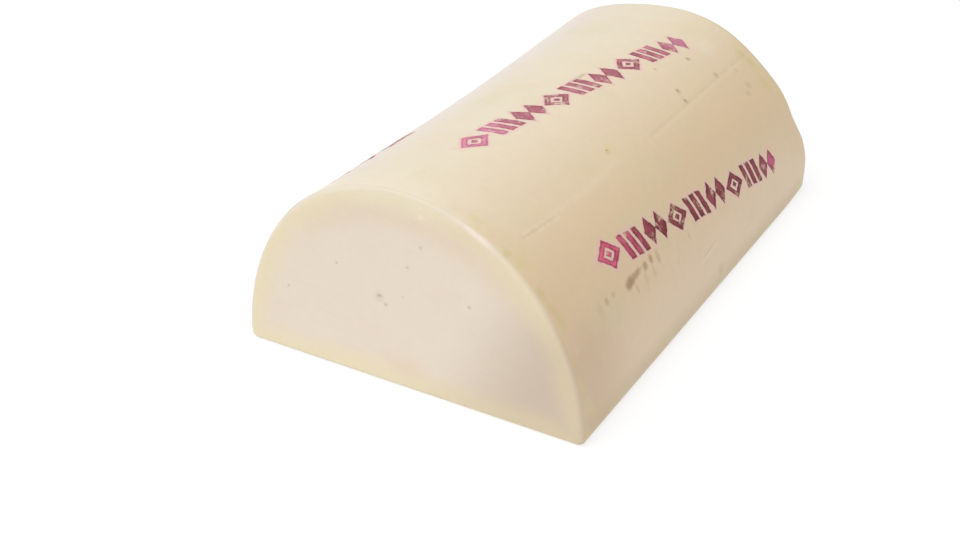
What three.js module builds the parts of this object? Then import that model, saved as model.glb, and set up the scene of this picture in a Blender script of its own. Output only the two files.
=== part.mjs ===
// A half-moon loaf of provolone, cut across at one end, lying on its flat side.
//
// Millimetres, +Z up. The loaf runs along Y: its cut face looks towards -Y and its moulded end
// towards +Y. The origin is under the middle of the loaf's box, on the surface that it lies on.

import * as THREE from 'three';
import { mergeVertices } from 'three/addons/utils/BufferGeometryUtils.js';

// Driving dimensions of the half-moon section and the loaf.
const halfWidth = 100;
const archHeight = 106.7;
const loafLength = 329;
const baseEdgeRadius = 4;
const cutEdgeRadius = 3;
const mouldedEdgeRadius = 9;

// How far each end leans off square: millimetres along Y for each millimetre across or up.
const cutFaceLean = { across: -0.059, up: -0.004 };
const mouldedFaceLean = { across: 0.009, up: -0.019 };

// Low waves round the arch that keep it from being a true half ellipse.
const archWaves = [
  { count: 2, height: -0.8 },
  { count: 3, height: 0.9 },
  { count: 4, height: -0.2 },
];

// Swells (+) and hollows (-) from handling. Each has its place, its spread and its height. The angle
// is in degrees round the arch, from 0 at the right-hand base edge to 180 at the left-hand one, and
// along is the distance behind the cut face.
const swells = [
  // Long hollow in the left shoulder.
  { angle: 126, angleSpread: 24, along: 135, alongSpread: 75, height: -1.1 },
  // Left lip of the cut face.
  { angle: 128, angleSpread: 20, along: 0, alongSpread: 14, height: 0.9 },
  // Flare at the far left shoulder.
  { angle: 125, angleSpread: 11, along: 350, alongSpread: 55, height: 2.7 },
  // Flat on the far crown.
  { angle: 97, angleSpread: 15, along: 350, alongSpread: 55, height: -2.6 },
  // Flat on the far right shoulder.
  { angle: 48, angleSpread: 11, along: 350, alongSpread: 55, height: -2.2 },
  // Dent in the far right rim.
  { angle: 25.5, angleSpread: 4.5, along: 345, alongSpread: 22, height: -2.4 },
  // Swell at the far right heel.
  { angle: 13, angleSpread: 7, along: 350, alongSpread: 45, height: 1.3 },
  // Worn corner under that heel.
  { angle: 2, angleSpread: 5, along: 345, alongSpread: 25, height: -2.4 },
];

// How finely the solid is stepped.
const archSteps = 72;
const baseEdgeDivisions = 2;
const cutEdgeRings = 4;
const mouldedEdgeRings = 5;
const bodyRings = 22;

function bell(distance, spread) {
  return Math.exp(-0.5 * (distance / spread) ** 2);
}

// A point on the arch, at an angle from the right-hand base edge.
function archPoint(angle) {
  let radius = halfWidth;
  for (const wave of archWaves) radius += wave.height * Math.cos(wave.count * angle);
  return new THREE.Vector2(
    radius * Math.cos(angle),
    radius * Math.sin(angle) * (archHeight / halfWidth),
  );
}

// The half-moon: a flat base, a small round at each base edge, and the arch over them.
function sectionShape() {
  const firstAngle = Math.asin(baseEdgeRadius / archHeight);
  const right = archPoint(firstAngle);
  const left = archPoint(Math.PI - firstAngle);
  const quarterTurn = Math.PI / 2;
  const shape = new THREE.Shape();
  shape.absarc(right.x - baseEdgeRadius, baseEdgeRadius, baseEdgeRadius, -quarterTurn, 0);
  for (let step = 1; step < archSteps; step++) {
    const point = archPoint(THREE.MathUtils.lerp(firstAngle, Math.PI - firstAngle, step / archSteps));
    shape.lineTo(point.x, point.y);
  }
  shape.absarc(left.x + baseEdgeRadius, baseEdgeRadius, baseEdgeRadius, Math.PI, 3 * quarterTurn);
  return shape;
}

// The rings of a quarter-round edge, from the end face to where the round meets the side.
function edgeRings(radius, count) {
  const rings = [];
  for (let ring = 0; ring < count; ring++) {
    const angle = (ring / count) * (Math.PI / 2);
    rings.push({ depth: radius * (1 - Math.cos(angle)), inset: radius * (1 - Math.sin(angle)) });
  }
  return rings;
}

// Every ring of the loaf, from the moulded end to the cut face: how far it lies behind the cut face,
// and how far it is drawn in from the full section.
function loafRings() {
  const rings = edgeRings(mouldedEdgeRadius, mouldedEdgeRings)
    .map(({ depth, inset }) => ({ along: loafLength - depth, inset }));
  for (let step = 0; step <= bodyRings; step++) {
    const share = step / bodyRings;
    const along = THREE.MathUtils.lerp(loafLength - mouldedEdgeRadius, cutEdgeRadius, share);
    rings.push({ along, inset: 0 });
  }
  const cutEdge = edgeRings(cutEdgeRadius, cutEdgeRings).reverse();
  return rings.concat(cutEdge.map(({ depth, inset }) => ({ along: depth, inset })));
}

// The height of all the swells and hollows together, at one place on the arch.
function swellHeight(angle, along) {
  const degrees = THREE.MathUtils.radToDeg(angle);
  let height = 0;
  for (const swell of swells) {
    const round = bell(degrees - swell.angle, swell.angleSpread);
    height += swell.height * round * bell(along - swell.along, swell.alongSpread);
  }
  return height;
}

// Moves a point of the plain section to its place on the loaf.
function placeOnLoaf(across, up, { along, inset }) {
  const angle = Math.atan2(up / archHeight, across / halfWidth);
  const growth = 1 + swellHeight(angle, along) / Math.hypot(across, up);
  const middle = archHeight / 2;
  const x = across * growth * (1 - inset / halfWidth);
  const z = middle + (up * growth - middle) * (1 - inset / middle);
  const share = along / loafLength;
  const cutLean = cutFaceLean.across * x + cutFaceLean.up * z;
  const mouldedLean = mouldedFaceLean.across * x + mouldedFaceLean.up * z;
  return new THREE.Vector3(x, along + THREE.MathUtils.lerp(cutLean, mouldedLean, share), z);
}

// The loaf is the half-moon extruded by one step for each ring, with every point then placed.
function loafGeometry() {
  const rings = loafRings();
  const steps = rings.length - 1;
  const extruded = new THREE.ExtrudeGeometry(sectionShape(), {
    depth: steps,
    steps,
    curveSegments: baseEdgeDivisions,
    bevelEnabled: false,
  });
  extruded.deleteAttribute('normal');
  extruded.deleteAttribute('uv');
  const geometry = mergeVertices(extruded);
  const position = geometry.getAttribute('position');
  for (let i = 0; i < position.count; i++) {
    const ring = rings[Math.round(position.getZ(i))];
    const placed = placeOnLoaf(position.getX(i), position.getY(i), ring);
    position.setXYZ(i, placed.x, placed.y, placed.z);
  }
  geometry.computeBoundingBox();
  const middle = geometry.boundingBox.getCenter(new THREE.Vector3());
  geometry.translate(-middle.x, -middle.y, -geometry.boundingBox.min.z);
  geometry.computeVertexNormals();
  return geometry;
}

const rind = new THREE.MeshStandardMaterial({ color: 0xdfcfae, roughness: 0.45, metalness: 0 });

const loaf = new THREE.Mesh(loafGeometry(), rind);
loaf.name = 'provolone_loaf';

const provolone = new THREE.Group();
provolone.add(loaf);

export default provolone;
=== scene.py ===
import math
from collections import namedtuple

import bpy
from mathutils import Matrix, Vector


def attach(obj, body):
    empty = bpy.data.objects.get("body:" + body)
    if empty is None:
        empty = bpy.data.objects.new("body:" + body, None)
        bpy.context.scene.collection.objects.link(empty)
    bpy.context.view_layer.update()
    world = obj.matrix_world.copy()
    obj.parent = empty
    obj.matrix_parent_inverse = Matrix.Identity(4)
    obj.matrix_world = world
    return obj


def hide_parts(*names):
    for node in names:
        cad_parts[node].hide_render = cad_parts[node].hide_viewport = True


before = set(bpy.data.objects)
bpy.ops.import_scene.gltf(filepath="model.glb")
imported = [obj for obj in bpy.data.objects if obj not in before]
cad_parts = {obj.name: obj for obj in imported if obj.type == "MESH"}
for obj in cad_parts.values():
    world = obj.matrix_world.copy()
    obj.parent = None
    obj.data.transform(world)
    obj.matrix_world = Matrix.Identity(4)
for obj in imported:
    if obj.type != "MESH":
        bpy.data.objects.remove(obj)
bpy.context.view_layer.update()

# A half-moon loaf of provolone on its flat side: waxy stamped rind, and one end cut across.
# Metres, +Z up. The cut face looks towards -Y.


# ---------------------------------------------------------------- the loaf's sizes

Loaf = namedtuple("Loaf", "half_width arch_height length base_edge cut_edge moulded_edge")
Lean = namedtuple("Lean", "across up")
Swell = namedtuple("Swell", "angle angle_spread along along_spread height")

# The half-moon's driving dimensions. The last three are the radii of its rounded edges.
LOAF = Loaf(
    half_width=0.100,
    arch_height=0.1067,
    length=0.329,
    base_edge=0.004,
    cut_edge=0.003,
    moulded_edge=0.009,
)

# How far each end leans off square, along Y for each metre across or up.
CUT_LEAN = Lean(across=-0.059, up=-0.004)
MOULDED_LEAN = Lean(across=0.009, up=-0.019)

# Low waves round the arch that keep it from being a true half ellipse: count and height.
ARCH_WAVES = ((2, -0.0008), (3, 0.0009), (4, -0.0002))

# Swells (+) and hollows (-) from handling. An angle is in degrees round the arch, from 0 at the
# right-hand base edge to 180 at the left-hand one, and along is the distance behind the cut face.
SWELLS = (
    Swell(126, 24, 0.135, 0.075, -0.0011),   # long hollow in the left shoulder
    Swell(128, 20, 0.000, 0.014, 0.0009),    # left lip of the cut face
    Swell(125, 11, 0.350, 0.055, 0.0027),    # flare at the far left shoulder
    Swell(97, 15, 0.350, 0.055, -0.0026),    # flat on the far crown
    Swell(48, 11, 0.350, 0.055, -0.0022),    # flat on the far right shoulder
    Swell(25.5, 4.5, 0.345, 0.022, -0.0024),  # dent in the far right rim
    Swell(13, 7, 0.350, 0.045, 0.0013),      # swell at the far right heel
    Swell(2, 5, 0.345, 0.025, -0.0024),      # worn corner under that heel
)

# Nearer to the axis than this share of the half width, a swell fades out towards the axis.
LEAST_REACH = 0.6

# How finely the surface is stepped, round the section and along the loaf.
ARCH_STEPS = 190
BASE_EDGE_STEPS = 5
BASE_STEPS = 36
CUT_FACE_RINGS = 44
CUT_EDGE_RINGS = 6
BODY_RINGS = 196
MOULDED_EDGE_RINGS = 8
MOULDED_FACE_RINGS = 26

# How finely the plain loaf is sampled to find the middle of its box.
BOX_RINGS = 40
BOX_STEPS = 72

QUARTER_TURN = math.pi / 2
DEGREES = 180 / math.pi          # degrees in a radian
WELD_DISTANCE = 0.00001          # vertices closer than this are joined
SHARP_FOLD = math.radians(40)    # an edge that folds by more than this isn't shaded smooth


# ---------------------------------------------------------------- sums on numbers and on nodes

class Field:
    """A value that nodes work out. A sum on fields adds a Math node to their tree."""

    def __init__(self, tree, socket):
        self.tree = tree
        self.socket = socket

    def __add__(self, other):
        return calc("ADD", self, other)

    def __sub__(self, other):
        return calc("SUBTRACT", self, other)

    def __rsub__(self, other):
        return calc("SUBTRACT", other, self)

    def __mul__(self, other):
        return calc("MULTIPLY", self, other)

    def __truediv__(self, other):
        return calc("DIVIDE", self, other)

    def __abs__(self):
        return calc("ABSOLUTE", self)

    __radd__ = __add__
    __rmul__ = __mul__


PLAIN_SUMS = {
    "SINE": math.sin,
    "COSINE": math.cos,
    "ARCTAN2": math.atan2,
    "EXPONENT": math.exp,
    "SQRT": math.sqrt,
    "MAXIMUM": max,
}


def plug(tree, value, socket):
    """Feeds a socket from a field, or sets it to a plain value."""
    if isinstance(value, Field):
        tree.links.new(value.socket, socket)
    else:
        socket.default_value = value


def add_node(tree, kind, inputs=None, **settings):
    """A new node with these settings, its inputs plugged by name or number."""
    node = tree.nodes.new(kind)
    for name, value in settings.items():
        setattr(node, name, value)
    for key, value in (inputs or {}).items():
        plug(tree, value, node.inputs[key])
    return node


def calc(operation, *values):
    """One step of arithmetic: on plain numbers at once, on fields by a Math node."""
    fields = [value for value in values if isinstance(value, Field)]
    if not fields:
        return PLAIN_SUMS[operation](*values)
    tree = fields[0].tree
    node = add_node(tree, "ShaderNodeMath", dict(enumerate(values)), operation=operation)
    return Field(tree, node.outputs[0])


def sine(value):
    return calc("SINE", value)


def cosine(value):
    return calc("COSINE", value)


def larger(first, second):
    return calc("MAXIMUM", first, second)


def smaller(first, second):
    return calc("MINIMUM", first, second)


def clamped(value):
    return smaller(larger(value, 0.0), 1.0)


def hypotenuse(first, second):
    return calc("SQRT", first * first + second * second)


def blend(first, second, share):
    return first + (second - first) * share


def bell(distance, spread):
    """A smooth bump, 1 in its middle and 0.6 at its spread."""
    ratio = distance * (1 / spread)
    return calc("EXPONENT", ratio * ratio * -0.5)


def soft_step(value, start, end):
    """Goes smoothly from 0 at start to 1 at end, whichever of them is the larger."""
    inputs = {"Value": value, "From Min": start, "From Max": end}
    node = add_node(value.tree, "ShaderNodeMapRange", inputs, interpolation_type="SMOOTHSTEP")
    return Field(value.tree, node.outputs["Result"])


def vector(tree, *parts):
    node = add_node(tree, "ShaderNodeCombineXYZ", dict(enumerate(parts)))
    return Field(tree, node.outputs[0])


def parts_of(place):
    node = add_node(place.tree, "ShaderNodeSeparateXYZ", {0: place})
    return [Field(place.tree, socket) for socket in node.outputs]


def shown_over(along, span):
    """1 over a span and 0 outside it. It rises between the span's first two distances and falls
    between its last two."""
    rise_start, rise_end, fall_start, fall_end = span
    return soft_step(along, rise_start, rise_end) * soft_step(along, fall_end, fall_start)


def noise(place, size, detail=2.0, seed=0.0):
    """Smooth noise from 0 to 1 with lumps of about this size."""
    inputs = {"Vector": place, "W": seed, "Scale": 1 / size, "Detail": detail, "Roughness": 0.5}
    node = add_node(place.tree, "ShaderNodeTexNoise", inputs, noise_dimensions="4D")
    return Field(place.tree, node.outputs["Fac"])


def patches(place, size, low, high, seed):
    """Soft patches of about this size: 0 where the noise is under low and 1 where it is over
    high."""
    return soft_step(noise(place, size, seed=seed), low, high)


def stretches(count, lengths):
    """Shares that go from 0 to 1 one after another, each over its own number of steps."""
    shares = []
    start = 0
    for length in lengths:
        shares.append(clamped((count - start) / length))
        start += length
    return shares


# ---------------------------------------------------------------- the loaf's shape

def arch_point(loaf, angle):
    """A point on the arch, at an angle in radians from the right-hand base edge."""
    radius = loaf.half_width
    for count, height in ARCH_WAVES:
        radius = radius + height * cosine(angle * count)
    return radius * cosine(angle), radius * sine(angle) * loaf.arch_height / loaf.half_width


def arch_angle(loaf, across, up):
    return calc("ARCTAN2", up / loaf.arch_height, across / loaf.half_width)


def swell_height(angle, along):
    """The height of all the swells and hollows together, at one place on the arch."""
    height = 0.0
    for swell in SWELLS:
        round_arch = bell(angle * DEGREES - swell.angle, swell.angle_spread)
        height = height + round_arch * bell(along - swell.along, swell.along_spread) * swell.height
    return height


def lean_of(lean, x, z):
    return x * lean.across + z * lean.up


def place_on_loaf(loaf, across, up, along, inset, spread=1.0):
    """Moves a point of the plain section to its place on the loaf. Inset draws it in at a rounded
    end edge, and spread shrinks from 1 at the side to 0 in the middle of an end face."""
    angle = arch_angle(loaf, across, up)
    reach = larger(hypotenuse(across, up), loaf.half_width * LEAST_REACH)
    growth = swell_height(angle, along) / reach + 1.0
    middle = loaf.arch_height / 2
    x = across * growth * (1.0 - inset / loaf.half_width) * spread
    z = middle + (up * growth - middle) * (1.0 - inset / middle) * spread
    lean = blend(lean_of(CUT_LEAN, x, z), lean_of(MOULDED_LEAN, x, z), along / loaf.length)
    return x, along + lean, z


def rind_point(loaf, angle, along, inset=0.0):
    """A point on the plain rind, at an angle in degrees."""
    across, up = arch_point(loaf, angle / DEGREES)
    return Vector(place_on_loaf(loaf, across, up, along, inset))


def cut_face_point(x, z):
    return Vector((x, lean_of(CUT_LEAN, x, z), z))


def loaf_middle(loaf):
    """The middle of the loaf's box on the ground, which is where the origin lies."""
    side_end = loaf.length - loaf.moulded_edge
    places = [(0.0, loaf.cut_edge), (loaf.length, loaf.moulded_edge)]
    places += [(blend(loaf.cut_edge, side_end, ring / BOX_RINGS), 0.0)
               for ring in range(BOX_RINGS + 1)]
    first = math.asin(loaf.base_edge / loaf.arch_height) * DEGREES
    points = [rind_point(loaf, blend(first, 180 - first, step / BOX_STEPS), along, inset)
              for along, inset in places for step in range(BOX_STEPS + 1)]
    lowest = [min(point[axis] for point in points) for axis in range(2)]
    highest = [max(point[axis] for point in points) for axis in range(2)]
    return Vector(((lowest[0] + highest[0]) / 2, (lowest[1] + highest[1]) / 2, 0.0))


MIDDLE = loaf_middle(LOAF)


def from_loaf_origin(place):
    """The parts of a point's Object coordinates, but measured from the plain loaf's own origin."""
    return [part + offset for part, offset in zip(parts_of(place), MIDDLE)]


def loaf_place(place):
    """The angle in degrees and the distance along of a point, from its Object coordinates."""
    x, y, z = from_loaf_origin(place)
    cut = lean_of(CUT_LEAN, x, z)
    moulded = lean_of(MOULDED_LEAN, x, z)
    along = (y - cut) / (1.0 + (moulded - cut) / LOAF.length)
    return arch_angle(LOAF, x, z) * DEGREES, along


# ---------------------------------------------------------------- small marks on the loaf

Hollow = namedtuple("Hollow", "point radius finish")

RIND, PASTE, EYE = range(3)

# Gas holes in the cut face: across, up and radius.
EYES = (
    (-0.0139, 0.0487, 0.00165),
    (-0.0102, 0.0451, 0.00095),
    (0.0031, 0.0691, 0.00070),
    (0.0108, 0.0818, 0.00075),
    (-0.0390, 0.0604, 0.00060),
    (0.0377, 0.0576, 0.00080),
    (-0.0699, 0.0390, 0.00055),
    (-0.0001, 0.0522, 0.00045),
)

# Pocks in the rind: angle, along and radius.
POCKS = (
    (65.9, 0.2605, 0.0010),
    (55.7, 0.2680, 0.0010),
    (59.8, 0.2225, 0.0008),
    (55.7, 0.2200, 0.0010),
    (118.3, 0.2070, 0.0008),
    (59.7, 0.1261, 0.0010),
    (70.5, 0.2276, 0.0007),
)

HOLLOW_LIFT = 0.55               # how far a hollow's ball stands proud, as a share of its radius

ARC = 0.0018                     # metres round the arch for each degree

# The unevenness of the worked surface: its scale, its seed, and the size of its lumps with their
# height as a share of that scale.
RELIEF = 0.001
RELIEF_SEED = 4.0
RELIEF_LUMPS = ((0.075, 0.90), (0.026, 0.42), (0.009, 0.12))

# The seam that the mould leaves: it starts high at the cut face and soon runs level.
SEAM_ANGLE = 53.6
SEAM_SWING = 4.4
SEAM_FADE = 0.035

# Where along the loaf the seam shows: near the cut face, where it is only smeared, and at the far
# end.
SEAM_NEAR = (0.018, 0.027, 0.048, 0.063)
SEAM_SMEARED = (0.038, 0.060, 0.110, 0.140)
SEAM_FAR = (0.150, 0.175, 0.318, 0.325)

# Lines beside the seam: how far each lies above it (+) or below it (-), and its spread. The first
# two are in the shape, with their height as a share of the relief, and the others in the colour.
SeamLine = namedtuple("SeamLine", "offset spread")
SHAPED_GROOVE = SeamLine(0.0020, 0.0016)
SHAPED_RIDGE = SeamLine(-0.0006, 0.0016)
SEAM_HEIGHT = 0.06
NEAR_GROOVE = SeamLine(0.0015, 0.0006)
FAR_GROOVE = SeamLine(0.0020, 0.0009)
UPPER_BARS = SeamLine(0.0030, 0.0007)
LOWER_BARS = SeamLine(0.0, 0.0007)
SMEARS = SeamLine(0.0028, 0.0014)
FAR_RIDGE = SeamLine(0.0002, 0.0009)

CUT_FACE_RELIEF = 0.35           # the relief of the cut face, as a share of the rind's


def seam_gap(angle, along):
    """How far round the arch a place lies from the mould's seam, above it (+) or below it (-)."""
    swing = calc("EXPONENT", along * (-1 / SEAM_FADE)) * SEAM_SWING
    return (angle - swing - SEAM_ANGLE) * ARC


def on_line(gap, line):
    """1 on a line beside the seam, fading on both sides of it."""
    return bell(gap - line.offset, line.spread)


def hollows():
    """The eyes and the pocks: where each is centred, its radius and its finish."""
    for x, z, radius in EYES:
        lift = Vector((0.0, -radius * HOLLOW_LIFT, 0.0))
        yield Hollow(cut_face_point(x, z) + lift - MIDDLE, radius, EYE)
    for angle, along, radius in POCKS:
        lifted = rind_point(LOAF, angle, along, inset=-radius * HOLLOW_LIFT)
        yield Hollow(lifted - MIDDLE, radius, RIND)


# ---------------------------------------------------------------- the loaf's mesh

SOCKET_KINDS = {float: "NodeSocketFloat", bpy.types.Material: "NodeSocketMaterial"}


def section_round(loaf, step):
    """One turn round the half-moon: right base edge, arch, left base edge and flat base."""
    counts = (BASE_EDGE_STEPS, ARCH_STEPS, BASE_EDGE_STEPS, BASE_STEPS)
    right_edge, arch, left_edge, base = stretches(step, counts)
    first = calc("ARCSINE", loaf.base_edge / loaf.arch_height)
    right_across, right_up = arch_point(loaf, first)
    left_across, left_up = arch_point(loaf, math.pi - first)
    across, up = arch_point(loaf, blend(first, math.pi - first, arch))
    flat_width = right_across - left_across - loaf.base_edge * 2
    across = across - loaf.base_edge * (1.0 - sine(right_edge * QUARTER_TURN))
    across = across + loaf.base_edge * (1.0 - cosine(left_edge * QUARTER_TURN))
    across = across + flat_width * base
    up = up - right_up * cosine(right_edge * QUARTER_TURN)
    up = up - left_up * sine(left_edge * QUARTER_TURN)
    return across, up


def rings_along(loaf, ring):
    """From the middle of the cut face, over the side, to the middle of the moulded end."""
    counts = (CUT_FACE_RINGS, CUT_EDGE_RINGS, BODY_RINGS, MOULDED_EDGE_RINGS, MOULDED_FACE_RINGS)
    cut_face, cut_edge, body, moulded_edge, moulded_face = stretches(ring, counts)
    cut_turn = cut_edge * QUARTER_TURN
    moulded_turn = moulded_edge * QUARTER_TURN
    along = loaf.cut_edge * (1.0 - cosine(cut_turn))
    along = along + (loaf.length - loaf.cut_edge - loaf.moulded_edge) * body
    along = along + loaf.moulded_edge * sine(moulded_turn)
    inset = loaf.cut_edge * (1.0 - sine(cut_turn))
    inset = inset + loaf.moulded_edge * (1.0 - cosine(moulded_turn))
    return along, inset, cut_face * (1.0 - moulded_face)


def relief_height(place, relief, seed):
    """How far the hand-worked surface stands off the plain one. The flat base stays flat."""
    angle, along = loaf_place(place)
    height = 0.0
    for number, (size, share) in enumerate(RELIEF_LUMPS):
        height = height + (noise(place, size, seed=seed + number) - 0.5) * share
    gap = seam_gap(angle, along)
    shown = larger(shown_over(along, SEAM_NEAR), shown_over(along, SEAM_FAR))
    height = height - on_line(gap, SHAPED_GROOVE) * shown * SEAM_HEIGHT
    height = height + on_line(gap, SHAPED_RIDGE) * shown * SEAM_HEIGHT
    on_cut_face = soft_step(along, 0.0025, 0.0005)
    off_base = soft_step(parts_of(place)[2], 0.0005, 0.006)
    return height * blend(1.0, CUT_FACE_RELIEF, on_cut_face) * off_base * relief


def new_tree(name, inputs):
    """A geometry tree with named inputs, and fields that read them."""
    tree = bpy.data.node_groups.new(name, "GeometryNodeTree")
    tree.interface.new_socket("Geometry", in_out="INPUT", socket_type="NodeSocketGeometry")
    tree.interface.new_socket("Geometry", in_out="OUTPUT", socket_type="NodeSocketGeometry")
    for label, value in inputs.items():
        kind = next(kind for form, kind in SOCKET_KINDS.items() if isinstance(value, form))
        tree.interface.new_socket(label, in_out="INPUT", socket_type=kind)
    source = add_node(tree, "NodeGroupInput")
    return tree, {label: Field(tree, source.outputs[label]) for label in ("Geometry", *inputs)}


def node_shape(tree, kind, inputs, output="Geometry", **settings):
    """The geometry that a new node gives."""
    return Field(tree, add_node(tree, kind, inputs, **settings).outputs[output])


def read_number(tree, name):
    """A number that is stored on the geometry under this name."""
    node = add_node(tree, "GeometryNodeInputNamedAttribute", {"Name": name}, data_type="FLOAT")
    return Field(tree, node.outputs["Attribute"])


def store_finish(tree, shape, finish):
    """Marks each face with the number of its finish."""
    return node_shape(tree, "GeometryNodeStoreNamedAttribute", {
        "Geometry": shape, "Name": "finish", "Value": finish,
    }, data_type="FLOAT", domain="FACE")


def worked_loaf(tree, given):
    """The loaf from a lattice of steps round its section and rings along it."""
    loaf = Loaf(*(given[label_of(name)] for name in Loaf._fields))
    rings = CUT_FACE_RINGS + CUT_EDGE_RINGS + BODY_RINGS + MOULDED_EDGE_RINGS + MOULDED_FACE_RINGS
    steps = BASE_EDGE_STEPS * 2 + ARCH_STEPS + BASE_STEPS
    lattice = node_shape(tree, "GeometryNodeMeshGrid", {
        "Size X": float(rings), "Size Y": float(steps),
        "Vertices X": rings + 1, "Vertices Y": steps + 1,
    }, "Mesh")
    spot = Field(tree, add_node(tree, "GeometryNodeInputPosition").outputs[0])
    ring, step, _ = parts_of(spot)
    ring = ring + rings / 2
    step = step + steps / 2

    # The comparison gives 1 (PASTE) on the cut face and 0 (RIND) beyond it.
    finish = calc("LESS_THAN", ring, CUT_FACE_RINGS + CUT_EDGE_RINGS / 2)
    across, up = section_round(loaf, step)
    x, y, z = place_on_loaf(loaf, across, up, *rings_along(loaf, ring))
    shaped = node_shape(tree, "GeometryNodeSetPosition", {
        "Geometry": store_finish(tree, lattice, finish),
        "Position": vector(tree, x - MIDDLE.x, y - MIDDLE.y, z),
    })
    closed = node_shape(tree, "GeometryNodeMergeByDistance", {
        "Geometry": shaped, "Distance": WELD_DISTANCE,
    })

    normal = Field(tree, add_node(tree, "GeometryNodeInputNormal").outputs["Normal"])
    height = relief_height(spot, given["Relief"], given["Seed"])
    push = add_node(tree, "ShaderNodeVectorMath", {0: normal, "Scale": height}, operation="SCALE")
    return node_shape(tree, "GeometryNodeSetPosition", {
        "Geometry": closed, "Offset": Field(tree, push.outputs[0]),
    })


def hollow_balls(tree, given):
    """A ball for each eye and pock, to be cut out of the loaf."""
    ball = node_shape(tree, "GeometryNodeMeshIcoSphere", {"Radius": 1.0, "Subdivisions": 3}, "Mesh")
    balls = node_shape(tree, "GeometryNodeInstanceOnPoints", {
        "Points": given["Geometry"],
        "Instance": ball,
        "Scale": read_number(tree, "radius") * given["Hollow Size"],
    }, "Instances")
    loose = node_shape(tree, "GeometryNodeRealizeInstances", {"Geometry": balls})
    return store_finish(tree, loose, read_number(tree, "kind"))


def smoothed(tree, shape):
    """Shades the faces smooth, except across sharp folds."""
    smooth = node_shape(tree, "GeometryNodeSetShadeSmooth", {
        "Geometry": shape, "Shade Smooth": True,
    }, domain="FACE")
    fold = add_node(tree, "GeometryNodeInputMeshEdgeAngle")
    is_gentle = calc("LESS_THAN", Field(tree, fold.outputs["Unsigned Angle"]), SHARP_FOLD)
    return node_shape(tree, "GeometryNodeSetShadeSmooth", {
        "Geometry": smooth, "Shade Smooth": is_gentle,
    }, domain="EDGE")


def loaf_tree(inputs):
    """The loaf with its hollows cut out, and a material on each face."""
    tree, given = new_tree("half_moon_loaf", inputs)
    pitted = node_shape(tree, "GeometryNodeMeshBoolean", {
        "Mesh 1": worked_loaf(tree, given), "Mesh 2": hollow_balls(tree, given),
    }, "Mesh", operation="DIFFERENCE", solver="EXACT")
    smooth = smoothed(tree, pitted)
    shape = node_shape(tree, "GeometryNodeRealizeInstances", {"Geometry": smooth})
    finish = read_number(tree, "finish")
    for number, label in ((RIND, "Rind"), (PASTE, "Paste"), (EYE, "Eye")):
        shape = node_shape(tree, "GeometryNodeSetMaterial", {
            "Geometry": shape,
            "Selection": calc("GREATER_THAN", finish, number - 0.5),
            "Material": given[label],
        })
    result = add_node(tree, "NodeGroupOutput")
    tree.links.new(shape.socket, result.inputs["Geometry"])
    return tree


def label_of(name):
    return name.replace("_", " ").title()


def hollow_seeds():
    """A mesh with one vertex for each eye or pock."""
    seeds = list(hollows())
    mesh = bpy.data.meshes.new("half_moon_loaf")
    mesh.from_pydata([seed.point for seed in seeds], [], [])
    radius = mesh.attributes.new("radius", "FLOAT", "POINT")
    kind = mesh.attributes.new("kind", "FLOAT", "POINT")
    for number, seed in enumerate(seeds):
        radius.data[number].value = seed.radius
        kind.data[number].value = seed.finish
    return mesh


def make_loaf(rind, paste, eye):
    """The whole loaf as one plain mesh."""
    loaf = bpy.data.objects.new("half_moon_loaf", hollow_seeds())
    bpy.context.scene.collection.objects.link(loaf)
    inputs = {label_of(name): size for name, size in LOAF._asdict().items()}
    inputs.update({"Relief": RELIEF, "Hollow Size": 1.0, "Seed": RELIEF_SEED})
    inputs.update({"Rind": rind, "Paste": paste, "Eye": eye})
    tree = loaf_tree(inputs)
    modifier = loaf.modifiers.new("shape", "NODES")
    modifier.node_group = tree
    identifiers = {item.name: item.identifier for item in tree.interface.items_tree
                   if item.in_out == "INPUT"}
    for label, value in inputs.items():
        modifier[identifiers[label]] = value
    shown = loaf.evaluated_get(bpy.context.evaluated_depsgraph_get())
    mesh = bpy.data.meshes.new_from_object(shown)
    loaf.modifiers.remove(modifier)
    loaf.data = mesh
    return loaf


# ---------------------------------------------------------------- colours and finishes

# A tint is laid on by mix_colours(share, under, over). Most shares are soft steps between two
# angles in degrees or two distances in metres, times how strongly the tint shows.

def paint(red, green, blue):
    """A colour from its screen values, 0 to 255."""
    def linear(level):
        share = level / 255
        return share / 12.92 if share <= 0.04045 else ((share + 0.055) / 1.055) ** 2.4
    return linear(red), linear(green), linear(blue), 1.0


# The rind, from its crown down: palest left of the crown and pale on it, a painted sheen; tan on
# the shoulders; lighter on the heels, a painted reflection of the floor; duller at the foot,
# painted shade.
RIND_SHEEN = paint(234, 223, 213)
RIND_CROWN = paint(237, 225, 202)
RIND_SHOULDER = paint(235, 209, 171)
RIND_HEEL = paint(238, 212, 180)
RIND_FOOT = paint(221, 196, 160)
# Painted contact shadow along the rind's lowest edge, where it meets the floor.
RIND_CONTACT_SHADOW = paint(182, 162, 134)
RIND_END = paint(233, 214, 184)
RIND_BASE = paint(234, 218, 190)
# The pale of the painted highlight behind the cut edge; also a pale patch at the far end.
RIND_LIP = paint(241, 229, 207)
# Painted shade on the right heel, next to the cut face.
RIND_FRONT_HEEL_SHADE = paint(218, 188, 154)
RIND_GREENISH = paint(224, 216, 174)
RIND_PINKISH = paint(236, 206, 182)
RIND_OLIVE = paint(226, 211, 152)

# The rounded edge of the cut, from its right foot up and over to its left side. It is darker
# towards the right foot, a painted shade, and whitest on the right shoulder, a painted highlight.
RIM_SHADED_FOOT = paint(214, 197, 171)
RIM_RIGHT = paint(226, 211, 184)
RIM_TOP = paint(216, 204, 183)
RIM_LEFT = paint(220, 210, 192)
RIM_HIGHLIGHT = paint(231, 218, 204)

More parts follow.
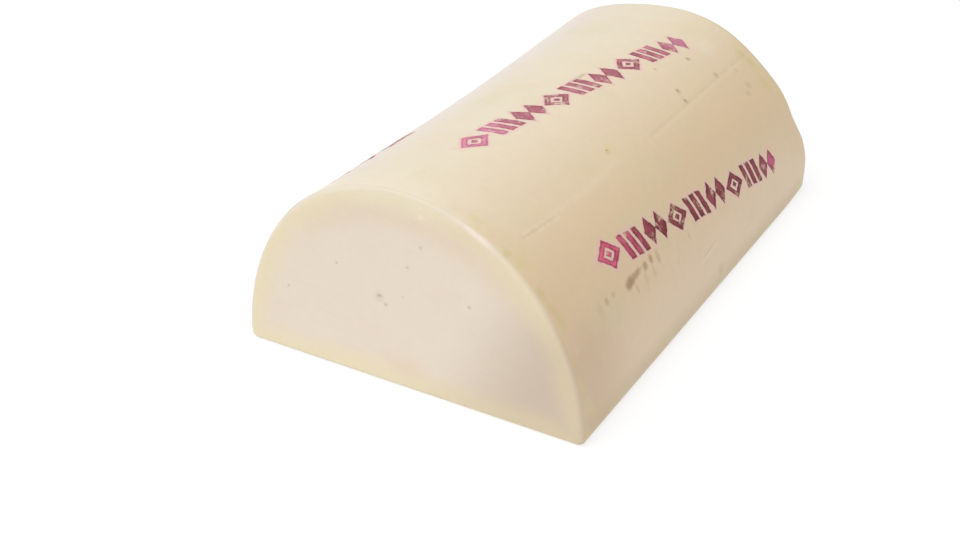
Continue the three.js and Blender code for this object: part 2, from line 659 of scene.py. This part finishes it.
PASTE_CREAM = paint(228, 215, 197)
PASTE_YELLOW = paint(230, 216, 183)
PASTE_LEMON = paint(231, 220, 190)
PASTE_OCHRE = paint(226, 211, 179)
# The yellow band in painted shade, towards its right foot.
PASTE_SHADED_TAN = paint(213, 197, 166)
PASTE_PINK = paint(228, 210, 191)
PASTE_BLUSH = paint(226, 206, 183)
# Painted shade on the lower right of the cut face, and the colour of the knife's drag lines.
PASTE_SHADE_AND_DRAG = paint(202, 184, 165)
SCUFF_PALE = paint(240, 226, 208)
EYE_GREY = paint(209, 197, 181)
EYE_HALO = paint(202, 190, 173)

STAIN_BROWN = paint(174, 136, 90)
SPECK_BROWN = paint(178, 158, 116)
SPOT_OLIVE = paint(212, 194, 116)
SPOT_YELLOW = paint(228, 212, 150)
SMUDGE = paint(196, 172, 150)
# Pale scratches and streaks, and the painted highlight on the seam's ridge.
SCRATCH_PALE_AND_HIGHLIGHT = paint(242, 222, 194)
# Painted shade in the seam's groove and beside a scratch.
GROOVE_SHADE = paint(204, 178, 142)
STAMP_HALO = paint(244, 200, 196)

# How far red, green and blue light spreads inside, against one another.
RIND_SCATTER = (1.0, 0.75, 0.45)
PASTE_SCATTER = (1.0, 0.80, 0.55)

Tint = namedtuple("Tint", "start end share colour")

# How the rind's colour changes round the arch, over the tan of its right shoulder: painted sheen on
# the crown, a painted floor reflection on the heels and painted shade at the foot. A tint comes in
# between two angles, which may run down as well as up.
RIND_TINTS = (
    Tint(35, 100, 1.0, RIND_CROWN),
    Tint(100, 122, 1.0, RIND_SHEEN),
    Tint(132, 158, 0.6, RIND_SHOULDER),
    Tint(28, 13, 1.0, RIND_HEEL),
    Tint(152, 167, 0.6, RIND_HEEL),
    Tint(9, 2, 1.0, RIND_FOOT),
    Tint(171, 178, 1.0, RIND_FOOT),
)

# The same for the rim of the cut, over the colour of its right foot, which is painted shade.
RIM_TINTS = (
    Tint(26, 42, 1.0, RIM_RIGHT),
    Tint(52, 62, 1.0, RIM_TOP),
    Tint(95, 110, 1.0, RIM_LEFT),
)

# The same for the yellow band under the rim, over its tan, which is painted shade where the band
# reaches its right foot.
BAND_TINTS = (
    Tint(24, 46, 1.0, PASTE_OCHRE),
    Tint(66, 84, 1.0, PASTE_LEMON),
    Tint(100, 120, 1.0, PASTE_YELLOW),
)

Blemish = namedtuple("Blemish", "angle along length width turn strength colour")

# Stains and specks in the rind: the place, half the length and width in metres, the turn of the
# long side from along to up in degrees, how strongly each shows, and its colour.
BLEMISHES = (
    Blemish(27.7, 0.0745, 0.0062, 0.0031, 8, 0.85, STAIN_BROWN),
    Blemish(28.3, 0.0830, 0.0070, 0.0021, 5, 0.65, STAIN_BROWN),
    Blemish(28.0, 0.0930, 0.0027, 0.0026, 0, 0.65, STAIN_BROWN),
    Blemish(28.3, 0.1006, 0.0024, 0.0030, 0, 0.65, STAIN_BROWN),
    Blemish(27.2, 0.1079, 0.0022, 0.0042, 0, 0.35, STAIN_BROWN),
    Blemish(24.6, 0.0788, 0.0014, 0.0032, 8, 0.26, STAIN_BROWN),
    Blemish(24.6, 0.0995, 0.0022, 0.0036, 0, 0.18, STAIN_BROWN),
    Blemish(25.0, 0.0900, 0.0024, 0.0040, 0, 0.12, STAIN_BROWN),
    Blemish(28.9, 0.0560, 0.0019, 0.0019, 0, 0.30, STAIN_BROWN),
    Blemish(28.8, 0.0487, 0.0020, 0.0022, 0, 0.38, STAIN_BROWN),
    Blemish(28.2, 0.0405, 0.0032, 0.0046, 0, 0.12, STAIN_BROWN),
    Blemish(24.6, 0.1459, 0.0018, 0.0036, 0, 0.18, STAIN_BROWN),
    Blemish(32.2, 0.0987, 0.0015, 0.0022, 0, 0.80, SPECK_BROWN),
    Blemish(36.3, 0.0689, 0.0014, 0.0020, 0, 0.80, SPECK_BROWN),
    Blemish(65.9, 0.2605, 0.0021, 0.0020, 0, 0.62, SPECK_BROWN),
    Blemish(70.5, 0.2276, 0.0016, 0.0016, 0, 0.35, SPECK_BROWN),
    Blemish(55.7, 0.2680, 0.0026, 0.0024, 0, 0.42, SPECK_BROWN),
    Blemish(59.8, 0.2225, 0.0021, 0.0021, 0, 0.68, SPECK_BROWN),
    Blemish(55.7, 0.2200, 0.0021, 0.0019, 0, 0.62, SPECK_BROWN),
    Blemish(57.7, 0.2200, 0.0022, 0.0040, 0, 0.12, SPECK_BROWN),
    Blemish(46.0, 0.2905, 0.0040, 0.0030, 0, 0.20, SPECK_BROWN),
    Blemish(44.0, 0.2840, 0.0034, 0.0026, 0, 0.22, SPECK_BROWN),
    Blemish(52.7, 0.2900, 0.0030, 0.0024, 0, 0.14, SPECK_BROWN),
    Blemish(59.7, 0.1261, 0.0020, 0.0018, 0, 0.50, SPECK_BROWN),
    Blemish(59.3, 0.1275, 0.0046, 0.0040, 0, 0.40, SPOT_YELLOW),
    Blemish(56.2, 0.0050, 0.0034, 0.0022, 0, 0.24, SPOT_OLIVE),
    Blemish(69.2, 0.0095, 0.0034, 0.0040, 0, 0.35, SPOT_YELLOW),
    Blemish(42.7, 0.0060, 0.0030, 0.0044, 0, 0.30, SPOT_OLIVE),
    Blemish(38.3, 0.0062, 0.0030, 0.0040, 0, 0.26, SPOT_OLIVE),
    Blemish(34.9, 0.0085, 0.0038, 0.0064, 0, 0.20, SPOT_OLIVE),
    Blemish(55.5, 0.3100, 0.0040, 0.0060, 0, 0.30, SPOT_OLIVE),
    Blemish(51.4, 0.3130, 0.0036, 0.0050, 0, 0.25, SPOT_OLIVE),
    Blemish(42.0, 0.3100, 0.0040, 0.0090, 0, 0.16, SPOT_OLIVE),
    Blemish(74.0, 0.2990, 0.0150, 0.0100, 0, 0.35, RIND_GREENISH),
    Blemish(65.4, 0.2870, 0.0110, 0.0070, 0, 0.35, RIND_LIP),
    Blemish(86.0, 0.1735, 0.0060, 0.0016, 0, 0.60, SMUDGE),
    Blemish(85.4, 0.1820, 0.0052, 0.0016, 0, 0.65, SMUDGE),
    Blemish(118.3, 0.2070, 0.0016, 0.0020, 0, 0.60, SMUDGE),
    # A pale scratch, with a line of painted shade beside it.
    Blemish(14.6, 0.1630, 0.0140, 0.0014, 5, 0.50, SCRATCH_PALE_AND_HIGHLIGHT),
    Blemish(15.5, 0.1630, 0.0120, 0.0009, 5, 0.30, GROOVE_SHADE),
    Blemish(6.6, 0.1765, 0.0050, 0.0040, 0, 0.18, STAIN_BROWN),
)

Zone = namedtuple("Zone", "angle angle_spread along along_spread")

# Where faint streaks run down the right shoulder, below the lower row of marks.
STREAKS = Zone(24, 6, 0.115, 0.036)

Ink = namedtuple("Ink", "deep bright")
InkRow = namedtuple("InkRow", "angle start count inks")

# The ink at the front of a row, in its middle and at its far end.
# The top row's inks, on the crown, are paler: partly faded ink, partly painted light.
PALE_INKS = (
    Ink(paint(182, 104, 124), paint(230, 148, 178)),
    Ink(paint(147, 76, 88), paint(200, 128, 140)),
    Ink(paint(176, 106, 126), paint(216, 150, 170)),
)
STRONG_INKS = (
    Ink(paint(170, 54, 78), paint(232, 108, 144)),
    Ink(paint(107, 18, 28), paint(156, 64, 76)),
    Ink(paint(138, 36, 54), paint(206, 96, 134)),
)

# Rows of stamped marks: the track's angle at the cut face, where the row starts, and how many
# marks it has. A row that starts in front of the cut face is cut off by it.
INK_ROWS = (
    InkRow(95.7, 0.0590, 9, PALE_INKS),
    InkRow(43.3, 0.0565, 9, STRONG_INKS),
    InkRow(127.9, -0.0325, 5, STRONG_INKS),
    InkRow(158.0, 0.0600, 9, STRONG_INKS),
)

# Where the ink changes to its middle and to its far colours, behind the start of the row.
INK_TO_MIDDLE = (0.015, 0.063)
INK_TO_FAR = (0.190, 0.215)

INK_EDGE = 0.0004                # half the width of a mark's soft edge
INK_RAGGED = 0.0018              # how far a mark's edge wanders, and how far it frays
INK_FRAYED = 0.0008
INK_BLEED = 0.0026               # how far the halo reaches beyond a mark
POOL_START = -0.0016             # where the ink pools, inside a mark's edge
POOL_END = -0.0005

STAMP_PITCH = 0.0244             # from one stamped mark to the next
STAMP_SLOPE = -82.0              # degrees round the arch for each metre along
STAMP_JITTER = 0.0007            # how far a mark stands off its track
JITTER_TURN = 2.4                # what makes that differ from mark to mark, in radians
LOZENGE_HALF_WIDTH = 0.0112
LOZENGE_HALF_HEIGHT = 0.0080
LOZENGE_STROKE = 0.0034
LOZENGE_DOT = 0.24               # the dot's size, as a share of the lozenge's
PAIR_HALF_WIDTH = 0.0060
PAIR_SPACING = 0.0060
BAR_STEP = 0.0076
BAR_HALF_WIDTH = 0.0026
BAR_HALF_HEIGHT = 0.0071
BAR_SLANT = 0.30

# A scuff at the top of the cut face: its place, and how much flatter than wide it is.
SCUFF_ACROSS = 0.0106
SCUFF_UP = 0.0974
SCUFF_FLATNESS = 2.2


def mix_colours(share, first, second):
    inputs = {0: share, 6: first, 7: second}
    node = add_node(share.tree, "ShaderNodeMix", inputs, data_type="RGBA")
    return Field(share.tree, node.outputs[2])


def tinted(colour, angle, tints):
    """Lays tints over a colour, one after another, by the place round the arch."""
    for tint in tints:
        shown = soft_step(angle, tint.start, tint.end) * tint.share
        colour = mix_colours(shown, colour, tint.colour)
    return colour


def mottled(place, colour, size, depth, seed):
    """Makes a colour a little lighter and darker in fine patches."""
    mottle = noise(place, size, detail=3.0, seed=seed)
    node = add_node(place.tree, "ShaderNodeHueSaturation", {
        "Color": colour, "Value": (mottle - 0.5) * depth + 1.0,
    })
    return Field(place.tree, node.outputs[0])


def new_material(name):
    """A material, its tree, its shader and the Object coordinates."""
    material = bpy.data.materials.new(name)
    material.use_nodes = True
    tree = material.node_tree
    shader = tree.nodes["Principled BSDF"]
    place = Field(tree, add_node(tree, "ShaderNodeTexCoord").outputs["Object"])
    return material, tree, shader, place


def bump(height, strength, distance):
    inputs = {"Height": height, "Strength": strength, "Distance": distance}
    node = add_node(height.tree, "ShaderNodeBump", inputs)
    return Field(height.tree, node.outputs["Normal"])


def set_translucent(shader, weight, scatter, depth):
    plug(shader.id_data, weight, shader.inputs["Subsurface Weight"])
    shader.inputs["Subsurface Radius"].default_value = scatter
    shader.inputs["Subsurface Scale"].default_value = depth


def rind_tint(place, angle, along):
    """The rind's colour by its place on the arch, with its painted sheen, floor reflection and
    shade, and in soft uneven patches.
    """
    colour = tinted(RIND_SHOULDER, angle, RIND_TINTS)
    on_end = soft_step(along, LOAF.length - 0.008, LOAF.length - 0.002)
    colour = mix_colours(on_end, colour, RIND_END)
    # Painted shade: the right heel darkens towards the cut face.
    front_heel_shade = soft_step(angle, 36, 20) * soft_step(along, 0.075, 0.015)
    colour = mix_colours(front_heel_shade * 0.7, colour, RIND_FRONT_HEEL_SHADE)
    # A painted highlight on the rind just behind the top of the cut edge.
    lip_highlight = soft_step(angle, 60, 100) * soft_step(along, 0.034, 0.008)
    colour = mix_colours(lip_highlight * 0.7, colour, RIND_LIP)
    greenish = patches(place, 0.030, 0.50, 0.72, seed=1.0)
    colour = mix_colours(greenish * 0.28, colour, RIND_GREENISH)
    pinkish = patches(place, 0.026, 0.50, 0.72, seed=2.0)
    colour = mix_colours(pinkish * 0.16, colour, RIND_PINKISH)
    by_rims = larger(bell(along - 0.007, 0.0045), bell(along - 0.312, 0.006))
    olive = patches(place, 0.011, 0.44, 0.64, seed=3.0) * by_rims
    colour = mix_colours(olive * soft_step(angle, 90, 50) * 0.5, colour, RIND_OLIVE)
    rosy = patches(place, 0.010, 0.50, 0.68, seed=4.0) * by_rims
    colour = mix_colours(rosy * soft_step(angle, 90, 60) * 0.4, colour, RIND_PINKISH)
    return mottled(place, colour, size=0.0045, depth=0.07, seed=5.0)


def base_tint(place):
    """The colour of the flat base, in soft uneven patches."""
    tan = patches(place, 0.030, 0.42, 0.66, seed=14.0)
    grain = soft_step(noise(place, 0.0045, detail=3.0, seed=5.0), 0.35, 0.65)
    colour = mix_colours(tan * 0.5, RIND_BASE, RIND_SHOULDER)
    return mix_colours(grain * 0.2, colour, RIND_GREENISH)


def blemish_share(rind_map, ragged, blemish):
    """How much of a blemish shows: its strength in its middle, and 0 beyond its ragged edge."""
    tree = rind_map.tree
    turned = add_node(tree, "ShaderNodeMapping", {
        "Vector": rind_map,
        "Location": (blemish.along, blemish.angle * ARC, 0.0),
        "Rotation": (0.0, 0.0, math.radians(blemish.turn)),
        "Scale": (blemish.length, blemish.width, 1.0),
    }, vector_type="TEXTURE")
    offset = Field(tree, turned.outputs[0])
    length = add_node(tree, "ShaderNodeVectorMath", {0: offset}, operation="LENGTH")
    reach = Field(tree, length.outputs["Value"])
    return soft_step(reach + ragged, 1.25, 0.35) * blemish.strength


def streak_shares(rind_map):
    """How much of the dark streaks and of the pale ones shows."""
    along, round_arch, _ = parts_of(rind_map)
    zone = bell(along - STREAKS.along, STREAKS.along_spread)
    zone = zone * bell(round_arch - STREAKS.angle * ARC, STREAKS.angle_spread * ARC)
    drawn_out = vector(rind_map.tree, along, round_arch * 0.40, 0.0)
    streaks = noise(drawn_out, 0.0050, seed=7.0)
    return soft_step(streaks, 0.48, 0.72) * zone, soft_step(streaks, 0.48, 0.28) * zone


def seam_shares(gap, along):
    """The mould's seam: its dark groove, which is painted shade, and its pale parts. Near the cut
    face the groove is crossed by short bars, then the seam is only smeared, and at the far end it
    has a ridge, whose pale line is a painted highlight."""
    tree = gap.tree
    beads = patches(vector(tree, along, gap * 0.3, 0.0), 0.0021, 0.42, 0.56, seed=8.0)
    blots = patches(vector(tree, along, gap * 0.6, 0.0), 0.0040, 0.36, 0.58, seed=9.0)
    near = shown_over(along, SEAM_NEAR)
    smeared = shown_over(along, SEAM_SMEARED)
    far = shown_over(along, SEAM_FAR)
    groove = on_line(gap, NEAR_GROOVE) * near * (1.0 - beads * 0.4)
    groove = groove + on_line(gap, FAR_GROOVE) * far * (blots * 0.45 + 0.2)
    bars = larger(on_line(gap, UPPER_BARS), on_line(gap, LOWER_BARS)) * beads * near
    smears = on_line(gap, SMEARS) * smeared * (blots * 0.8 + beads * 0.5)
    ridge = on_line(gap, FAR_RIDGE) * far * (1.0 - blots * 0.4)
    return groove, larger(larger(bars, smears) * 1.4, ridge)


def lozenge_gap(along, across, half_width, half_height):
    """How far a point lies outside a lozenge, negative inside it."""
    steepness = math.hypot(half_width, half_height)
    reach = abs(along) * half_height + abs(across) * half_width
    return (reach - half_width * half_height) / steepness


def stamp_gap(row, angle, along, ragged):
    """How far a point lies outside the row's nearest mark, negative inside it. The marks take
    turns: a lozenge ring with a dot, three slanted bars, and a pair of narrow lozenges."""
    cell = (along - row.start) / STAMP_PITCH
    number = calc("FLOOR", cell)
    along_mark = (cell - number - 0.5) * STAMP_PITCH
    across = (angle - along * STAMP_SLOPE - row.angle) * ARC
    across = across + sine(number * JITTER_TURN + row.angle) * STAMP_JITTER

    outer = lozenge_gap(along_mark, across, LOZENGE_HALF_WIDTH, LOZENGE_HALF_HEIGHT)
    ring = abs(outer + LOZENGE_STROKE / 2) - LOZENGE_STROKE / 2
    dot = lozenge_gap(along_mark, across, LOZENGE_HALF_WIDTH * LOZENGE_DOT,
                      LOZENGE_HALF_HEIGHT * LOZENGE_DOT)
    ring = smaller(ring, dot)

    slanted = along_mark + across * BAR_SLANT
    nearest = smaller(larger(calc("ROUND", slanted / BAR_STEP), -1.0), 1.0)
    beside_bar = abs(slanted - nearest * BAR_STEP) - BAR_HALF_WIDTH
    bars = larger(beside_bar, abs(across) - BAR_HALF_HEIGHT)

    along_pair = abs(along_mark) - PAIR_SPACING
    pair = lozenge_gap(along_pair, across, PAIR_HALF_WIDTH, LOZENGE_HALF_HEIGHT)

    turn = calc("FLOORED_MODULO", number, 3.0)
    gap = blend(ring, bars, smaller(turn, 1.0))
    gap = blend(gap, pair, larger(turn - 1.0, 0.0))
    row_middle = row.start + row.count * STAMP_PITCH / 2
    beyond = abs(along - row_middle) - row.count * STAMP_PITCH / 2
    return larger(gap + ragged, beyond)


def stamped(place, angle, along, colour):
    """Lays the rows of stamped ink over the rind's colour: pooled dark at the edges of each mark,
    brighter and patchy inside, speckled where it is worn, with a pale halo where it bled. Also
    gives how far the ink covers the rind."""
    speckle = noise(place, 0.0014, seed=32.0)
    ragged = (noise(place, 0.0038, seed=31.0) - 0.5) * INK_RAGGED
    ragged = ragged + (speckle - 0.5) * INK_FRAYED
    patchy = patches(place, 0.0070, 0.40, 0.60, seed=33.0)
    worn = patches(place, 0.0065, 0.52, 0.66, seed=34.0) * soft_step(speckle, 0.60, 0.40)
    inked = 0.0
    for row in INK_ROWS:
        gap = stamp_gap(row, angle, along, ragged)
        cover = soft_step(gap, INK_EDGE, -INK_EDGE) * (1.0 - worn * 0.8)
        pooled = soft_step(gap, POOL_START, POOL_END)
        halo = soft_step(gap, INK_BLEED, 0.0) * soft_step(gap, POOL_END, INK_EDGE)
        to_middle = soft_step(along, *(row.start + reach for reach in INK_TO_MIDDLE))
        to_far = soft_step(along, *(row.start + reach for reach in INK_TO_FAR))
        deep, bright = (mix_colours(to_far, mix_colours(to_middle, front, middle), far)
                        for front, middle, far in zip(*row.inks))
        ink = mix_colours(clamped(pooled * 0.65 + patchy * 0.55), bright, deep)
        colour = mix_colours(halo * 0.80, colour, STAMP_HALO)
        colour = mix_colours(cover, colour, ink)
        inked = larger(inked, cover)
    return colour, inked


def rim_colour(place, angle):
    """The colour of the rounded edge of the cut: whitest on its right shoulder in a painted
    highlight, and darker towards its right foot in painted shade.
    """
    x, _, z = parts_of(place)
    colour = tinted(RIM_SHADED_FOOT, angle, RIM_TINTS)
    painted_highlight = bell(angle - 64.5, 4.0) * patches(place, 0.006, 0.15, 0.45, seed=13.0)
    colour = mix_colours(painted_highlight, colour, RIM_HIGHLIGHT)
    # Along the base the rim darkens towards the right: painted shade.
    along_base = mix_colours(soft_step(x, -0.07, 0.07), RIM_LEFT, RIM_SHADED_FOOT)
    return mix_colours(soft_step(z, 0.022, 0.008), colour, along_base)


def rind_material():
    material, tree, shader, place = new_material("waxy_rind")
    angle, along = loaf_place(place)
    rind_map = vector(tree, along, angle * ARC, 0.0)
    colour = rind_tint(place, angle, along)
    dark_streaks, pale_streaks = streak_shares(rind_map)
    colour = mix_colours(dark_streaks * 0.08, colour, STAIN_BROWN)
    colour = mix_colours(pale_streaks * 0.25, colour, SCRATCH_PALE_AND_HIGHLIGHT)
    groove, ridge = seam_shares(seam_gap(angle, along), along)
    # The seam's dark groove is painted shade, and the pale line of its ridge a painted highlight.
    colour = mix_colours(groove * 0.32, colour, GROOVE_SHADE)
    colour = mix_colours(ridge * 0.38, colour, SCRATCH_PALE_AND_HIGHLIGHT)
    ragged = (noise(place, 0.0018, seed=10.0) - 0.5) * 0.7
    for blemish in BLEMISHES:
        colour = mix_colours(blemish_share(rind_map, ragged, blemish), colour, blemish.colour)
    colour, inked = stamped(place, angle, along, colour)
    on_rim = soft_step(along, 0.0036, 0.0014) * 0.9
    colour = mix_colours(on_rim, colour, rim_colour(place, angle))
    height_up = parts_of(place)[2]
    # A painted contact shadow on the lowest few millimetres of the rind.
    contact_shadow = soft_step(height_up, 0.0036, 0.0010) * 0.8
    colour = mix_colours(contact_shadow, colour, RIND_CONTACT_SHADOW)
    on_base = soft_step(height_up, 0.0010, 0.0003)
    colour = mix_colours(on_base, colour, base_tint(place))
    plug(tree, colour, shader.inputs["Base Color"])

    rough = noise(place, 0.015, seed=6.0) * 0.14 + inked * 0.20 + 0.36
    plug(tree, rough, shader.inputs["Roughness"])
    height = noise(place, 0.0050, detail=3.0, seed=11.0) * 0.4
    height = height + noise(place, 0.0012, seed=12.0) * 0.08
    height = height - groove * 0.15 + ridge * 0.15
    plug(tree, bump(height, strength=0.35, distance=0.0006), shader.inputs["Normal"])
    set_translucent(shader, (1.0 - inked) * 0.15, RIND_SCATTER, depth=0.005)
    return material


def rim_gap(place, angle):
    """How far a point of the cut face lies inside its outline."""
    x, _, z = from_loaf_origin(place)
    rim = LOAF.half_width
    for count, height in ARCH_WAVES:
        rim = rim + height * cosine(angle * (count / DEGREES))
    rim = rim + swell_height(angle / DEGREES, 0.0)
    squashed = z * (LOAF.half_width / LOAF.arch_height)
    return smaller(rim - hypotenuse(x, squashed), z)


def band_tint(angle, x, z):
    """The colour of the yellow band that runs under the rim and along the base. It darkens to tan
    towards the right, which is painted shade.
    """
    yellow = tinted(PASTE_SHADED_TAN, angle, BAND_TINTS)
    along_base = mix_colours(soft_step(x, -0.02, 0.08), PASTE_YELLOW, PASTE_SHADED_TAN)
    return mix_colours(soft_step(z, 0.036, 0.018), yellow, along_base)


def scuff_share(place, x, z):
    """How much of the ragged pale scuff shows."""
    gap = hypotenuse(x + MIDDLE.x - SCUFF_ACROSS, (z - SCUFF_UP) * SCUFF_FLATNESS)
    return soft_step(gap, 0.0050, 0.0015) * patches(place, 0.0022, 0.42, 0.58, seed=18.0)


def paste_material():
    material, tree, shader, place = new_material("cut_paste")
    angle, _ = loaf_place(place)
    x, _, z = parts_of(place)
    gap = rim_gap(place, angle)
    wander = gap + (noise(place, 0.020, seed=15.0) - 0.5) * 0.010
    pinkish = patches(place, 0.022, 0.45, 0.70, seed=16.0)
    colour = mix_colours(pinkish * 0.30, PASTE_CREAM, PASTE_PINK)
    # Painted shade: the cut face darkens towards its lower right.
    low_right_shade = soft_step(x - z * 0.55, 0.000, 0.064)
    colour = mix_colours(low_right_shade * 0.95, colour, PASTE_SHADE_AND_DRAG)
    in_band = soft_step(wander, 0.018, 0.004) * 0.9
    colour = mix_colours(in_band, colour, band_tint(angle, x, z))
    blush = bell(gap - 0.0130, 0.0038) * soft_step(angle, 145, 110) * soft_step(angle, 36, 66)
    colour = mix_colours(blush * 0.65, colour, PASTE_BLUSH)
    drawn_across = vector(tree, x * 0.05, 0.0, z + x * 0.07)
    drag = noise(drawn_across, 0.0011, seed=17.0)
    colour = mix_colours(soft_step(drag, 0.55, 0.75) * 0.09, colour, PASTE_SHADE_AND_DRAG)
    for across, up, radius in EYES:
        reach = hypotenuse(x + (MIDDLE.x - across), z - up)
        halo = soft_step(reach, radius * 2.4, radius * 0.7) * 0.4
        colour = mix_colours(halo, colour, EYE_HALO)
    scuff = scuff_share(place, x, z)
    colour = mix_colours(scuff * 0.6, colour, SCUFF_PALE)
    on_rim = soft_step(gap, 0.0032, 0.0010) * 0.9
    colour = mix_colours(on_rim, colour, rim_colour(place, angle))
    colour = mottled(place, colour, size=0.0040, depth=0.05, seed=19.0)
    plug(tree, colour, shader.inputs["Base Color"])

    plug(tree, noise(place, 0.012, seed=20.0) * 0.16 + 0.42, shader.inputs["Roughness"])
    height = drag * 0.18 + noise(place, 0.0030, detail=3.0, seed=21.0) * 0.25 + scuff * 0.3
    plug(tree, bump(height, strength=0.30, distance=0.0005), shader.inputs["Normal"])
    set_translucent(shader, 0.20, PASTE_SCATTER, depth=0.006)
    return material


def eye_material():
    material, tree, shader, place = new_material("eye_lining")
    colour = mix_colours(noise(place, 0.0008, seed=22.0) * 0.3, EYE_GREY, PASTE_CREAM)
    plug(tree, colour, shader.inputs["Base Color"])
    shader.inputs["Roughness"].default_value = 0.4
    set_translucent(shader, 0.20, PASTE_SCATTER, depth=0.004)
    return material


loaf = make_loaf(rind_material(), paste_material(), eye_material())
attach(loaf, "root")
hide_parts("provolone_loaf")


# ---------------------------------------------------------------- studio

WHITE = (1.0, 1.0, 1.0, 1.0)

FLOOR_SIZE = 12.0
FLOOR_DROP = 0.0001              # how far below the loaf's base the floor lies
FLOOR_GREY = (0.28, 0.28, 0.28, 1.0)
FLOOR_GLOW = 0.74
KEY_DIRECTION = Vector((-0.17, -0.34, 0.80))
KEY_SPREAD = math.radians(70)
KEY_STRENGTH = 2.7
SKY_STRENGTH = 0.30

CAMERA_AIM = Vector((-0.02450, -0.04051, 0.00482))
CAMERA_DISTANCE = 0.87785
CAMERA_AZIMUTH = math.radians(28.401)
CAMERA_ELEVATION = math.radians(27.756)
CAMERA_LENS = 58.61
CAMERA_SENSOR = 36.0


def make_floor():
    half = FLOOR_SIZE / 2
    mesh = bpy.data.meshes.new("floor")
    corners = [(-half, -half), (half, -half), (half, half), (-half, half)]
    mesh.from_pydata([(x, y, -FLOOR_DROP) for x, y in corners], [], [(0, 1, 2, 3)])
    floor = bpy.data.objects.new("floor", mesh)
    bpy.context.scene.collection.objects.link(floor)
    material = bpy.data.materials.new("pale_floor")
    material.use_nodes = True
    shader = material.node_tree.nodes["Principled BSDF"]
    shader.inputs["Base Color"].default_value = FLOOR_GREY
    shader.inputs["Roughness"].default_value = 1.0
    shader.inputs["Specular IOR Level"].default_value = 0.0
    shader.inputs["Emission Color"].default_value = WHITE
    shader.inputs["Emission Strength"].default_value = FLOOR_GLOW
    mesh.materials.append(material)


def make_lights():
    key = bpy.data.lights.new("key", "SUN")
    key.energy = KEY_STRENGTH
    key.angle = KEY_SPREAD
    lamp = bpy.data.objects.new("key", key)
    lamp.rotation_euler = KEY_DIRECTION.to_track_quat("Z", "Y").to_euler()
    bpy.context.scene.collection.objects.link(lamp)
    world = bpy.data.worlds.new("studio")
    world.use_nodes = True
    sky = world.node_tree.nodes["Background"]
    sky.inputs["Color"].default_value = WHITE
    sky.inputs["Strength"].default_value = SKY_STRENGTH
    bpy.context.scene.world = world


def make_camera():
    away = Vector((
        math.sin(CAMERA_AZIMUTH) * math.cos(CAMERA_ELEVATION),
        -math.cos(CAMERA_AZIMUTH) * math.cos(CAMERA_ELEVATION),
        math.sin(CAMERA_ELEVATION),
    ))
    lens = bpy.data.cameras.new("camera")
    lens.lens = CAMERA_LENS
    lens.sensor_width = CAMERA_SENSOR
    camera = bpy.data.objects.new("camera", lens)
    camera.location = CAMERA_AIM + away * CAMERA_DISTANCE
    camera.rotation_euler = away.to_track_quat("Z", "Y").to_euler()
    bpy.context.scene.collection.objects.link(camera)
    bpy.context.scene.camera = camera


make_floor()
make_lights()
make_camera()
bpy.context.scene.view_settings.view_transform = "Standard"
